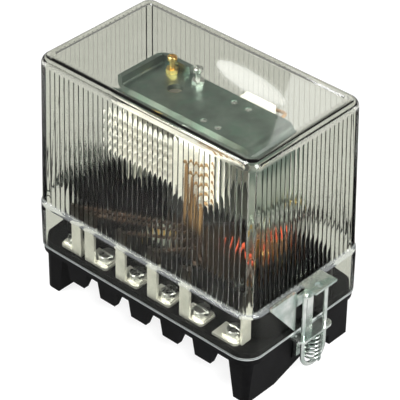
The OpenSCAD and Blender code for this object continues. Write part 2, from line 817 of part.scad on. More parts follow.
// Two screws through the frame's foot into the base, and the one that holds the tag board
module frame_screws() {
    color("#b9973f") {
        for (y = [-1, 1])
            translate([foot_screw_x, y * foot_screw_y + frame_shift, z_foot])
                slotted_screw(foot_head_r, foot_head_h, foot_screw_r,
                    frame_t + terminal_screw_depth - screw_short);
        translate([frame_x + board_t, board_screw_y, board_z + board_h / 2]) rotate([0, 90, 0])
            slotted_screw(board_head_r, board_head_h, foot_screw_r, frame_t + board_t - screw_short);
    }
}

module core() {
    color("#8b8f8d") translate([coil_x, 0, 0]) {
        translate([0, 0, z_floor]) cylinder(r = spigot_r, h = z_face - z_floor);
        translate([0, 0, z_foot]) cylinder(r = core_r, h = z_face - z_foot - core_edge);
        translate([0, 0, z_face - core_edge - eps])
            cylinder(r1 = core_r, r2 = core_r - core_edge_in, h = core_edge + eps);
    }
}

module bobbin() {
    color("#2a2a2c") translate([coil_x, 0, z_foot]) difference() {
        union() {
            cylinder(r = flange_r, h = flange_t, $fn = 96);
            cylinder(r = tube_r, h = bobbin_h);
            translate([0, 0, bobbin_h - flange_t]) cylinder(r = flange_r, h = flange_t, $fn = 96);
        }
        translate([0, 0, -cut]) cylinder(r = core_r + bobbin_gap, h = bobbin_h + 2 * cut);
    }
}

module winding() {
    color("#1b1512") translate([coil_x, 0, z_foot + flange_t]) difference() {
        cylinder(r = winding_r, h = bobbin_h - 2 * flange_t, $fn = 96);
        translate([0, 0, -cut]) cylinder(r = tube_r, h = bobbin_h);
    }
}

module tag_board() {
    color("#3b2418") translate([frame_x, frame_y0, board_z]) difference() {
        cube([board_t, frame_w, board_h]);
        translate([-cut, board_screw_y - frame_y0, board_h / 2]) rotate([0, 90, 0])
            cylinder(r = foot_screw_r + hole_gap, h = board_t + 2 * cut);
    }
}

// Each tag lies on the board, with its soldering end turned out at the top
module coil_tags() {
    color("#b9973f") for (y = tag_y)
        translate([frame_x + board_t, y - tag_w / 2, board_z + tag_up]) {
            cube([tag_t, tag_w, tag_h]);
            translate([0, 0, tag_h - tag_t]) cube([tag_out, tag_w, tag_t]);
        }
}

module coil_leads() {
    front_place = lead_place(terminal_count - 1, coil_lead_r);
    rear_place = lead_place(0, coil_lead_r);
    lug_places = [[front_place[0], -front_place[1]], [-rear_place[0], rear_place[1]]];
    sweeps = [front_sweep, rear_sweep];
    beside = [frame_y0 - coil_lead_r - lead_clear, frame_y1 + coil_lead_r + lead_clear];
    exit_r = winding_r + coil_lead_r;
    color("#c2431c") for (i = [0, 1]) {
        side = 2 * i - 1;
        tag_end = [frame_x + board_t + tag_up, tag_y[i], board_z + tag_up + tag_h];
        joint = tag_end + [0, 0, coil_lead_r - solder];
        lead([
            joint - [0, side * tag_pair, 0], tag_end + sweeps[i][0], tag_end + sweeps[i][1],
            concat(lug_places[i], z_leg - lead_top), concat(lug_places[i], z_leg - lead_foot)], coil_lead_r);
        lead([
            [coil_x + exit_r * cos(exit_angle), side * exit_r * sin(exit_angle), z_bobbin - exit_depth],
            [leg_x - arm_clear, beside[i], z_bobbin - exit_depth - tag_up],
            [tag_end[0], beside[i], z_bobbin - exit_depth - tag_out],
            joint + [0, side * tag_pair, 0]], coil_lead_r);
    }
}

module hinge_pin() {
    color("#c9a44c") translate([pin_x, frame_y0 - pin_over, z_pin]) rotate([-90, 0, 0])
        cylinder(r = pin_r, h = frame_w + 2 * pin_over);
}

module armature() {
    r = armature_t;
    color("#8e9490") difference() {
        union() {
            translate([arm_end + r, -armature_w / 2, z_arm])
                cube([leg_x - arm_clear - arm_end - r, armature_w, armature_t]);
            translate([arm_end, -armature_w / 2, z_arm + armature_t - armature_lip])
                cube([armature_t, armature_w, armature_lip - r]);
            intersection() {
                translate([arm_end + r, 0, z_arm]) rotate([90, 0, 0])
                    cylinder(r = r, h = armature_w, center = true);
                translate([arm_end, -armature_w, z_arm]) cube([r + eps, 2 * armature_w, r]);
            }
            translate([leg_x - arm_neck, -tail_w / 2, z_arm])
                cube([pin_x - leg_x + arm_neck, tail_w, armature_t]);
            translate([pin_x, 0, z_pin]) rotate([90, 0, 0])
                cylinder(r = knuckle_r, h = tail_w, center = true);
        }
        translate([pin_x, 0, z_pin]) rotate([90, 0, 0])
            cylinder(r = pin_r + pin_gap, h = tail_w + 2 * cut, center = true);
        translate([spring_x, spring_y, z_arm - cut]) cylinder(r = spring_hole_r, h = armature_t + 2 * cut);
        card_screw_places() translate([0, 0, -armature_t - cut])
            cylinder(r = adjust_r + hole_gap, h = armature_t + 2 * cut);
    }
}

// Places its children on the card's outer face at each card screw, with their Z axis pointing out
module card_screw_places() {
    for (y = [-1, 1])
        translate([arm_end, y * card_screw_y, card_low + card_screw_up]) rotate([0, -90, 0])
            children();
}

module card() {
    color("#e4e2d6") difference() {
        translate([card_x, -card_reach, card_low]) cube([card_t, 2 * card_reach, card_top - card_low]);
        for (i = moving_blades, y = [-1, 1])
            translate([
                card_x - cut,
                y * (card_reach - notch_d / 2 + cut) - notch_d / 2 - cut,
                blade_z(i) - notch_gap])
                cube([card_t + 2 * cut, notch_d + 2 * cut, blade_t + 2 * notch_gap]);
        card_screw_places() translate([0, 0, -cut]) cylinder(r = adjust_r + hole_gap, h = card_t + 2 * cut);
    }
}

module card_screws() {
    color("#c4c9c6") card_screw_places() translate([0, 0, card_t])
        slotted_screw(card_head_r, card_head_h, adjust_r, card_t + armature_t - screw_short);
}

module return_spring() {
    color("#b9bdb8") translate([spring_x, spring_y, spring_z])
        wire_coil(spring_mean_r, spring_wire_r, spring_turns, spring_l, spring_hook);
}

module spring_screw() {
    color("#d5d8d5") translate([spring_x, spring_y, head_top - adjust_head_h]) difference() {
        slotted_screw(adjust_head_r, adjust_head_h, adjust_r, head_top - adjust_head_h - hook_z);
        translate([0, 0, hook_z - head_top + adjust_head_h - eps])
            cylinder(r = spring_bore_r, h = spring_bore_h);
    }
}

module spring_nut() {
    color("#c4c9c6") translate([spring_x, spring_y, z_plate]) hex_nut(nut_flats, adjust_r + hole_gap, nut_h);
}

module stop_screw() {
    color("#b9973f") translate([stop_x, stop_y, head_top - adjust_head_h])
        slotted_screw(adjust_head_r, adjust_head_h, adjust_r, head_top - adjust_head_h - card_top - stop_gap);
}

module stop_nut() {
    color("#b9973f") translate([stop_x, stop_y, z_plate]) hex_nut(nut_flats, adjust_r + hole_gap, nut_h);
}

// The insulating spacers of the stack on the side given
module spacers(side) {
    color("#ece9df") for (i = [0:blade_count])
        translate([0, 0, z_stack + i * blade_pitch]) difference() {
            translate([stack_end, side > 0 ? stack_inner : -stack_reach - spacer_over, 0])
                cube([stack_l, stack_reach + spacer_over - stack_inner, spacer_t]);
            stack_holes(side, stack_screw_r + hole_gap);
        }
}

module stack_holes(side, r) {
    for (x = [-1, 1])
        translate([stack_x + x * stack_l / 4, side * stack_screw_y, -cut])
            cylinder(r = r, h = spacer_t + 2 * cut);
}

module front_spacers() spacers(-1);
module rear_spacers() spacers(1);

module stack_screws() {
    color("#c4c9c6") for (x = [-1, 1], y = [-1, 1])
        translate([stack_x + x * stack_l / 4, y * stack_screw_y, z_stack]) rotate([180, 0, 0])
            slotted_screw(stack_head_r, stack_head_h, stack_screw_r, z_plate - z_stack - screw_short);
}

function is_moving(i) = len(search(i, moving_blades)) > 0;

// Contact spring i of a stack, counted from the bottom
module blade(side, i) {
    w = is_moving(i) ? blade_w : fixed_w;
    root_in = stack_inner + spacer_over;
    color("#d9d5c6")
        mirror([0, side > 0 ? 1 : 0, 0]) translate([0, 0, blade_z(i)]) difference() {
            union() {
                translate([stack_end, -stack_reach, 0]) cube([stack_l, stack_reach - root_in, blade_t]);
                translate([blade_tip, -stack_reach, 0]) cube([blade_free_l + eps, w, blade_t]);
                translate([stack_end + stack_l - eps, -stack_reach, 0]) cube([tail_l, tail_d, blade_t]);
            }
            stack_holes(-1, sleeve_r);
            translate([contact_x, -contact_y, -cut])
                cylinder(r = rivet_shank_r + hole_gap, h = blade_t + 2 * cut);
        }
}

module front_spring_1() blade(-1, 0);
module front_spring_2() blade(-1, 1);
module front_spring_3() blade(-1, 2);
module front_spring_4() blade(-1, 3);
module front_spring_5() blade(-1, 4);
module rear_spring_1() blade(1, 0);
module rear_spring_2() blade(1, 1);
module rear_spring_3() blade(1, 2);
module rear_spring_4() blade(1, 3);
module rear_spring_5() blade(1, 4);

// A contact rivet through blade i, with heads of the heights given below and above the blade
module rivet(side, i, below, above) {
    translate([contact_x, side * contact_y, blade_z(i)]) {
        cylinder(r = rivet_shank_r, h = blade_t);
        translate([0, 0, -below]) cylinder(r = below > rivet_tail_h ? rivet_r : rivet_tail_r, h = below);
        translate([0, 0, blade_t]) cylinder(r = above > rivet_tail_h ? rivet_r : rivet_tail_r, h = above);
    }
}

module fixed_contacts() {
    color("#d7dad6") for (side = [-1, 1]) {
        rivet(side, 0, rivet_tail_h, rivet_h);
        rivet(side, 2, rivet_tail_h, rivet_h);
        rivet(side, 4, rest_rivet_h, rivet_tail_h);
    }
}

module moving_contacts() {
    color("#d7dad6") for (side = [-1, 1]) {
        rivet(side, 1, rivet_h, rivet_tail_h);
        rivet(side, 3, rivet_h, rest_rivet_h);
    }
}

// Leads from the tails of one stack to the lugs of its row; ends lists their places, topmost spring last
module contact_leads(side, ends) {
    tail_x = stack_end + stack_l + tail_l - tail_back;
    mirror([0, side > 0 ? 1 : 0, 0]) for (i = [0:blade_count - 1]) {
        x = tail_x - lead_pitch * (i + 1);
        z = blade_z(i) + blade_t + lead_r - solder;
        turn = z_leg + lead_drop * i;
        lead([
            [tail_x, -stack_reach + tail_edge, z], [tail_x, -lead_y, z],
            [x, -lead_y, z - lead_sag], [x, -lead_y, turn],
            [ends[i][0], -ends[i][1], z_leg - 2 * lead_top], [ends[i][0], -ends[i][1], z_leg - lead_foot]],
            lead_r);
    }
}

// Places of the contact leads on their lugs, from the right-hand one to the left-hand one
front_ends = [for (i = [terminal_count - 2:-1:0]) lead_place(i, lead_r)];
rear_ends = [for (i = [1:terminal_count - 1]) let (place = lead_place(i, lead_r)) [-place[0], place[1]]];

module front_leads() color("#8a5a2b") contact_leads(-1, front_ends);
module rear_leads() color("#8a5a2b") contact_leads(1, rear_ends);

// The latch bracket at the right end: tab, flange, pillar and ear are one bent sheet
module bracket() {
    difference() {
        union() {
            translate([end_x, -tab_w / 2, tab_low]) cube([sheet_t, tab_w, z_flange - tab_low]);
            translate([0, 0, z_flange - sheet_t]) linear_extrude(sheet_t) {
                translate([end_x, -flange_w / 2]) square([flange_x - end_x - flange_corner_r, flange_w]);
                translate([end_x, -flange_w / 2 + flange_corner_r])
                    square([flange_x - end_x, flange_w - 2 * flange_corner_r]);
                for (y = [-1, 1])
                    translate([flange_x - flange_corner_r, y * (flange_w / 2 - flange_corner_r)])
                        circle(flange_corner_r);
            }
            translate([pillar_x, 0, 0]) rotate([90, 0, 90]) linear_extrude(sheet_t) {
                translate([-strap_w / 2, z_flange - eps]) square([strap_w, bar_top - z_flange + eps]);
                translate([-bar_reach, bar_top - bar_h]) square([2 * bar_reach, bar_h]);
                polygon([
                    [-bar_reach + eps, bar_top], [-bar_reach, ear_top], [-ear_reach, ear_top],
                    [-ear_reach, ear_top - ear_tip_h], [-bar_reach, ear_low]]);
            }
        }
        for (y = [-1, 1])
            translate([latch_x, y * bail_w / 2, z_flange - 3 * sheet_t])
                cylinder(r = wire_r + bail_gap, h = 5 * sheet_t);
        translate([flange_x - locating_in, -flange_w / 2 + locating_edge, z_flange - 3 * sheet_t])
            cylinder(r = locating_r, h = 5 * sheet_t);
        translate([end_x - cut, 0, tab_screw_z]) rotate([0, 90, 0])
            cylinder(r = tab_screw_r + hole_gap, h = sheet_t + 2 * cut);
    }
}

module right_bracket() color("#a9b3a6") bracket();
module left_bracket() color("#a9b3a6") mirror([1, 0, 0]) bracket();

module bracket_screws() {
    color("#c4c9c6") for (side = [0, 1]) mirror([side, 0, 0])
        translate([end_x + sheet_t, 0, tab_screw_z]) rotate([0, 90, 0])
            slotted_screw(tab_head_r, tab_head_h, tab_screw_r, sheet_t + tab_screw_l);
}

// The wire bail at the right end: a U whose upper ends turn in to form the hook's hinge
module bail() {
    bow = bail_w / 2;
    z_bow = bail_z + wire_r + bow;
    translate([latch_x, 0, 0]) {
        translate([0, 0, z_bow]) rotate([90, 0, 90]) rotate([0, 0, 180])
            rotate_extrude(angle = 180) translate([bow, 0]) circle(wire_r, $fn = 24);
        for (side = [0, 1]) mirror([0, side, 0]) {
            translate([0, bow, z_bow]) cylinder(r = wire_r, h = z_axis - elbow_r - z_bow, $fn = 24);
            translate([0, bow - elbow_r, z_axis - elbow_r]) rotate([90, 0, 90])
                rotate_extrude(angle = 90) translate([elbow_r, 0]) circle(wire_r, $fn = 24);
            translate([0, bow - elbow_r, z_axis]) rotate([90, 0, 0])
                cylinder(r = wire_r, h = bow - elbow_r - stub_end, $fn = 24);
        }
    }
}

module right_bail() color("#b4bdb0") bail();
module left_bail() color("#b4bdb0") mirror([1, 0, 0]) bail();

// The hook plate at the right end, with two knuckles round the ends of the bail
module hook() {
    low = z_axis + hook_gap;
    difference() {
        union() {
            translate([hook_in, hook_y0, low]) cube([hook_out - hook_in, hook_y1 - hook_y0, sheet_t]);
            for (y = [-1, 1])
                translate([latch_x, y * (stub_end + knuckle_l / 2), z_axis]) rotate([90, 0, 0])
                    cylinder(r = wire_r + knuckle_t, h = knuckle_l, center = true);
        }
        for (y = [-1, 1])
            translate([latch_x, y * (stub_end + knuckle_l / 2), z_axis]) rotate([90, 0, 0])
                cylinder(r = wire_r + hook_pin_gap, h = knuckle_l + cut, center = true, $fn = 24);
        translate([hook_out - hook_hole_in, 0, low - cut]) cylinder(r = hook_hole_r, h = sheet_t + 2 * cut);
    }
}

module right_hook() color("#c3ccbd") hook();
module left_hook() color("#c3ccbd") mirror([1, 0, 0]) hook();

module latch_spring() {
    low = bail_z + 2 * wire_r + bow_rise + latch_spring_wire_r;
    translate([latch_x, 0, low])
        wire_coil(latch_spring_r, latch_spring_wire_r, latch_spring_turns,
            z_flange - sheet_t - latch_spring_wire_r - low);
}

module right_latch_spring() color("#9aa79c") latch_spring();
module left_latch_spring() color("#9aa79c") mirror([1, 0, 0]) latch_spring();

cover();
base();
terminal_lug(1);  // terminal_lug_1
terminal_lug(2);  // terminal_lug_2
terminal_lug(3);  // terminal_lug_3
terminal_lug(4);  // terminal_lug_4
terminal_lug(5);  // terminal_lug_5
terminal_lug(6);  // terminal_lug_6
terminal_lug(7);  // terminal_lug_7
terminal_lug(8);  // terminal_lug_8
terminal_lug(9);  // terminal_lug_9
terminal_lug(10);  // terminal_lug_10
terminal_lug(11);  // terminal_lug_11
terminal_lug(12);  // terminal_lug_12
terminal_screws();
terminal_washers();
frame();
frame_screws();
core();
bobbin();
winding();
tag_board();
coil_tags();
coil_leads();
hinge_pin();
armature();
card();
card_screws();
return_spring();
spring_screw();
spring_nut();
stop_screw();
stop_nut();
front_spacers();
rear_spacers();
stack_screws();
front_spring_1();
front_spring_2();
front_spring_3();
front_spring_4();
front_spring_5();
rear_spring_1();
rear_spring_2();
rear_spring_3();
rear_spring_4();
rear_spring_5();
fixed_contacts();
moving_contacts();
front_leads();
rear_leads();
right_bracket();
left_bracket();
bracket_screws();
right_bail();
left_bail();
right_hook();
left_hook();
right_latch_spring();
left_latch_spring();
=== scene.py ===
"""Looks for the clear-cased intermediate relay: the fluted cover, the bending contact springs, the finishes
of every solid, and the studio. Blender and the frame take metres; lengths here are in millimetres, times MM."""

import math

import bpy
from mathutils import Matrix, Vector


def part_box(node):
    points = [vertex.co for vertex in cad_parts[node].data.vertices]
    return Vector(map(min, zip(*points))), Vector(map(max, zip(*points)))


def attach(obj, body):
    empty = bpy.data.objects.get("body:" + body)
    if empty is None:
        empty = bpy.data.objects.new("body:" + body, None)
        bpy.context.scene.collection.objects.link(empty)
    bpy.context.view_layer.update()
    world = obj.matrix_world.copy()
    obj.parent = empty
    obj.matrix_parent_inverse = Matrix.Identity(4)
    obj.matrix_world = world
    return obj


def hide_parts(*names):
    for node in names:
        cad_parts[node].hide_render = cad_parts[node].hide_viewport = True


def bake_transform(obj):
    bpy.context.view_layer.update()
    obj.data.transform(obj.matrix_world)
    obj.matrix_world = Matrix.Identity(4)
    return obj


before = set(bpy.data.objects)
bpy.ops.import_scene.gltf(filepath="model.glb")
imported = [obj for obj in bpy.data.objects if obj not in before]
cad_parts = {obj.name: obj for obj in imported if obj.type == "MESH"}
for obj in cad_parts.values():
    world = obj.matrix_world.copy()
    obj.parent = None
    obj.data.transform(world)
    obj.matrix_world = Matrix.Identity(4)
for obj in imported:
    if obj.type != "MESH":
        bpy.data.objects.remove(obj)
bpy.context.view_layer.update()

MM = 0.001

# Cover, in millimetres, as in the part's source
SKIRT = (128.0, 75.0)
SKIRT_H = 23.3
SKIRT_Z = 25.0
SKIRT_CORNER = 9.0
SHOULDER = 1.1
LEDGE = 1.35
BODY_H = 75.0
DRAFT = 1.35
WALL = 1.6
BODY_CORNER = 6.0
FLUTE_PITCH, FLUTE_DEPTH = 2.9, 0.45

# Cover, in millimetres, seen closer than the part's source has it
FOOT_RISE = 0.4
CREASE_FOOT, CREASE_RISE = 0.1, 0.25
FLUTE_FADE = 0.3
RIM = 4.5
WINDOW_STEP = 0.6
WINDOW_INSETS = (1.2, 1.7, 3.0)
WINDOW_CORNER = 1.4
INNER_ROUND = 1.0
CEILING_INSET, CEILING_CORNER = 1.5, 1.0
INNER_FILLET = 0.3
INNER_SHOULDER = 0.8

# Heights, in millimetres
LEDGE_Z = SKIRT_Z + SKIRT_H
TOP_Z = LEDGE_Z + BODY_H
RIM_Z = TOP_Z - RIM

# Points along one flute, and how flat its crest is: 1 is a sine, and less is flatter
FLUTE_STEPS = 10
CREST_FLATNESS = 0.22
ROUND_STEPS, RIM_STEPS = 6, 8

# In metres: how near to a height a point counts as lying at it, and where doubles merge
SAME_HEIGHT = 1e-7
DOUBLES = 1e-6

# Camera, from the photograph's vanishing points: millimetres, and the focal length in photograph pixels
PHOTO_PX = 400
FOCAL_PX = 2073.285
EYE = Vector((491.368, -540.843, 582.358))
RIGHT = Vector((0.73686, 0.67598, 0.00952))
UP = Vector((-0.39921, 0.42371, 0.81309))
BACK = Vector((0.54559, -0.60293, 0.58207))
SENSOR_MM = 36.0

# Two ends of a noise pattern's range, between which one colour turns to the other
PATCHES = (0.35, 0.65)
MOTTLE = (0.35, 0.7)
WIDE_MOTTLE = (0.3, 0.7)


def clear_selection():
    """Back to object mode, with nothing selected."""
    if bpy.context.mode != "OBJECT":
        bpy.ops.object.mode_set(mode="OBJECT")
    bpy.ops.object.select_all(action="DESELECT")


def select_only(obj):
    """That object selected and active."""
    clear_selection()
    obj.select_set(True)
    bpy.context.view_layer.objects.active = obj


def finish_mesh(obj, name, smooth_angle=35):
    """Place applied, doubles merged, normals outwards, smooth below the angle."""
    select_only(obj)
    obj.name = name
    obj.data.name = name
    bpy.ops.object.transform_apply(location=True, rotation=True, scale=True)
    bpy.ops.object.mode_set(mode="EDIT")
    bpy.ops.mesh.select_all(action="SELECT")
    bpy.ops.mesh.remove_doubles(threshold=DOUBLES)
    bpy.ops.mesh.normals_make_consistent(inside=False)
    bpy.ops.object.mode_set(mode="OBJECT")
    bpy.ops.object.shade_smooth_by_angle(angle=math.radians(smooth_angle))
    clear_selection()


# Shader maths


class Number:
    """A socket that Python's operators can be used on."""

    def __init__(self, finish, socket):
        self.finish, self.socket = finish, socket

    def maths(self, operation, first, second):
        node = self.finish.node("ShaderNodeMath", {"operation": operation}, {0: first, 1: second})
        return Number(self.finish, node.outputs[0])

    def __add__(self, other):
        return self.maths("ADD", self, other)

    __radd__ = __add__

    def __sub__(self, other):
        return self.maths("SUBTRACT", self, other)

    def __rsub__(self, other):
        return self.maths("SUBTRACT", other, self)

    def __mul__(self, other):
        return self.maths("MULTIPLY", self, other)

    __rmul__ = __mul__

    def at_least(self, other):
        """The larger of the two."""
        return self.maths("MAXIMUM", self, other)


class Finish:
    """One material: a Principled shader and the nodes that feed it."""

    def __init__(self, name, **sockets):
        self.material = bpy.data.materials.new(name)
        self.material.use_nodes = True
        self.tree = self.material.node_tree
        self.shader = self.tree.nodes["Principled BSDF"]
        self.output = self.tree.nodes["Material Output"]
        self.place = self.node("ShaderNodeTexCoord").outputs["Object"]
        self.set(**sockets)

    def node(self, kind, settings=None, sockets=None):
        """A new node of that kind, with its settings set first and then its sockets set or linked."""
        node = self.tree.nodes.new(kind)
        for key, value in (settings or {}).items():
            setattr(node, key, value)
        for key, value in (sockets or {}).items():
            self.feed(node.inputs[key], value)
        return node

    def feed(self, socket, value):
        """Links the socket where the value is a socket too, and sets it otherwise."""
        if isinstance(value, Number):
            value = value.socket
        if isinstance(value, bpy.types.NodeSocket):
            self.tree.links.new(value, socket)
        elif socket.type == "RGBA":
            socket.default_value = (*value, 1.0)
        else:
            socket.default_value = value

    def set(self, **sockets):
        """Feeds the Principled shader's sockets, named in small letters."""
        for key, value in sockets.items():
            self.feed(self.shader.inputs[key.replace("_", " ").title().replace("Ior", "IOR")], value)
        return self

    def base_colour(self):
        """What feeds the base colour so far."""
        return self.shader.inputs["Base Color"].links[0].from_socket

    def stretched(self, x, y, z):
        """Object coordinates scaled along each axis: a pattern runs long where the number is small."""
        mapping = self.node("ShaderNodeMapping", {}, {"Vector": self.place, "Scale": (x, y, z)})
        return mapping.outputs["Vector"]

    def noise(self, scale, detail=3.0, roughness=0.5, where=None):
        """Noise from 0 to 1 with that many features a metre."""
        node = self.node("ShaderNodeTexNoise", {}, {
            "Vector": where or self.place, "Scale": scale, "Detail": detail, "Roughness": roughness})
        return Number(self, node.outputs["Fac"])

    def spread(self, value, low, high):
        """value stretched so that low gives 0 and high gives 1."""
        node = self.node("ShaderNodeMapRange", {"clamp": True}, {
            "Value": value, "From Min": low, "From Max": high})
        return Number(self, node.outputs["Result"])

    def blend(self, factor, first, second):
        """first where factor is 0, second where it is 1."""
        node = self.node("ShaderNodeMix", {"data_type": "RGBA"}, {0: factor, 6: first, 7: second})
        return node.outputs[2]

    def blend_shaders(self, factor, first, second):
        """The first shader where factor is 0, the second where it is 1."""
        return self.node("ShaderNodeMixShader", {}, {0: factor, 1: first, 2: second}).outputs["Shader"]

    def bump(self, height, distance_mm):
        """Relief of that depth, which follows height."""
        node = self.node("ShaderNodeBump", {}, {
            "Height": height, "Distance": distance_mm * MM, "Strength": 1.0})
        return self.set(normal=node.outputs["Normal"])

    def axis(self, letter):
        """The place along one axis, in metres."""
        parts = self.node("ShaderNodeSeparateXYZ", {}, {"Vector": self.place})
        return Number(self, parts.outputs[letter])


def on(names, finish):
    """That finish on the CAD nodes named."""
    for name in names:
        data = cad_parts[name].data
        data.materials.clear()
        data.materials.append(finish.material)


# Finishes


def metal(name, light, dark, roughness, streak=0.12, patches=60.0):
    """Plated or rolled metal: slow patches of tone, fine streaks and tiny pits."""
    finish = Finish(name, metallic=1.0)
    tone = finish.noise(patches, 4.0, 0.6)
    fine = finish.noise(900.0, 2.0)
    colour = finish.blend(finish.spread(tone * 0.75 + fine * 0.25, *PATCHES), dark, light)
    finish.set(base_color=colour, roughness=roughness + (fine - 0.5) * streak + (tone - 0.5) * streak)
    return finish.bump(fine, 0.01)


def tinned_lug():
    """Tinned brass, streaked and dull white, with its soldered top end painted near black and less metallic:
    painted shade.
    """
    shade_start_z, shade_full_z = 45.6 * MM, 46.8 * MM
    finish = metal("tinned_brass", (0.9, 0.89, 0.84), (0.68, 0.67, 0.62), 0.36, streak=0.2, patches=150.0)
    # Painted shade: above the ledge height the tin is turned near black and less metallic.
    top_shade = finish.spread(finish.axis("Z"), shade_start_z, shade_full_z)
    return finish.set(
        base_color=finish.blend(top_shade, finish.base_colour(), (0.012, 0.009, 0.006)),
        metallic=(1 - top_shade) * 0.7)


def zinc_with_green(name, light, dark, tint, roughness):
    """Passivated zinc: pale metal with soft patches of green and blue."""
    finish = Finish(name, metallic=1.0)
    tone = finish.noise(90.0, 3.0, 0.55)
    bands = finish.noise(240.0, 2.0, 0.5, finish.stretched(1.0, 0.4, 0.3))
    fine = finish.noise(2600.0, 2.0)
    plain = finish.blend(finish.spread(tone, *PATCHES), dark, light)
    finish.set(
        base_color=finish.blend(finish.spread(bands, 0.48, 0.68) * 0.7, plain, tint),
        roughness=roughness + (fine - 0.5) * 0.16)
    return finish.bump(fine, 0.012)


def frame_zinc():
    """Dull green zinc, with painted light down the frame's upright: paler below the plate, where the lamp falls
    on its face.
    """
    painted_light_z, unlit_green_z = 92 * MM, 99 * MM
    finish = zinc_with_green("dark_zinc", (0.28, 0.345, 0.315), (0.18, 0.23, 0.207), (0.2, 0.31, 0.26), 0.34)
    # Painted light: the frame's upright face is blended towards pale grey-green below the plate.
    painted_leg_light = 1 - finish.spread(finish.axis("Z"), painted_light_z, unlit_green_z)
    return finish.set(base_color=finish.blend(painted_leg_light * 0.7, finish.base_colour(), (0.72, 0.76, 0.7)))


def moulded(name, light, dark, roughness):
    """Moulded plastic: slight mottling and a fine skin."""
    finish = Finish(name)
    mottle = finish.noise(140.0, 5.0, 0.65)
    skin = finish.noise(1800.0, 3.0)
    finish.set(
        base_color=finish.blend(finish.spread(mottle, *MOTTLE), dark, light),
        roughness=roughness + (mottle - 0.5) * 0.2)
    return finish.bump(skin, 0.02)


def black_phenolic():
    """Deep black moulding with a thin, patchy dusty bloom."""
    finish = Finish("black_phenolic", specular_ior_level=0.05)
    mottle = finish.noise(120.0, 5.0, 0.65)
    skin = finish.noise(1500.0, 3.0)
    dust = finish.spread(finish.noise(420.0, 6.0, 0.75), 0.52, 0.78)
    black = finish.blend(finish.spread(mottle, *WIDE_MOTTLE), (0.002, 0.002, 0.0022), (0.006, 0.006, 0.0065))
    finish.set(
        base_color=finish.blend(dust * 0.15, black, (0.04, 0.039, 0.036)),
        roughness=0.32 + mottle * 0.16 + dust * 0.2)
    return finish.bump(skin, 0.02)


def wound_tape():
    """Dark wrapping round the coil, with the edge of each turn showing."""
    tape_width = 3.2 * MM
    finish = Finish("dark_winding", specular_ior_level=0.15)
    turns = finish.axis("Z") * (1 / tape_width)
    edge = Number(finish, finish.node("ShaderNodeMath", {"operation": "FRACT"}, {0: turns}).outputs[0])
    mottle = finish.noise(160.0, 5.0, 0.7)
    tape = finish.blend(finish.spread(mottle, *WIDE_MOTTLE), (0.012, 0.009, 0.007), (0.05, 0.034, 0.022))
    finish.set(
        base_color=finish.blend(finish.spread(edge, 0.85, 1.0) * 0.7, tape, (0.006, 0.005, 0.004)),
        roughness=0.5 + mottle * 0.2)
    return finish.bump(edge, 0.15)


def sleeve(name, light, dark):
    """Woven sleeving or enamel on a lead, with a fine weave."""
    finish = Finish(name, roughness=0.45)
    weave = finish.noise(3000.0, 2.0)
    tone = finish.noise(260.0, 3.0)
    finish.set(base_color=finish.blend(finish.spread(tone, *PATCHES), dark, light))
    return finish.bump(weave, 0.05)


def part_sleeved_lead():
    """A dark lacquered lead with an orange-red sleeve over its middle stretch, beside the tag board."""
    sleeve_start, sleeve_end, fade = -18 * MM, 5 * MM, 1 * MM
    finish = sleeve("red_sleeve", (0.62, 0.085, 0.025), (0.4, 0.045, 0.015))
    across = finish.axis("Y")
    sleeved = (finish.spread(across, sleeve_start, sleeve_start + fade)
               * (1 - finish.spread(across, sleeve_end, sleeve_end + fade)))
    return finish.set(base_color=finish.blend(sleeved, (0.02, 0.01, 0.006), finish.base_colour()))


def varnished_leads():
    """Varnished leads: amber up at the contact springs, dark brown below."""
    brown_z, amber_z = 66 * MM, 72 * MM
    finish = sleeve("brown_sleeve", (0.05, 0.022, 0.009), (0.016, 0.008, 0.004))
    amber = finish.spread(finish.axis("Z"), brown_z, amber_z)
    return finish.set(base_color=finish.blend(amber, finish.base_colour(), (0.3, 0.175, 0.075)))


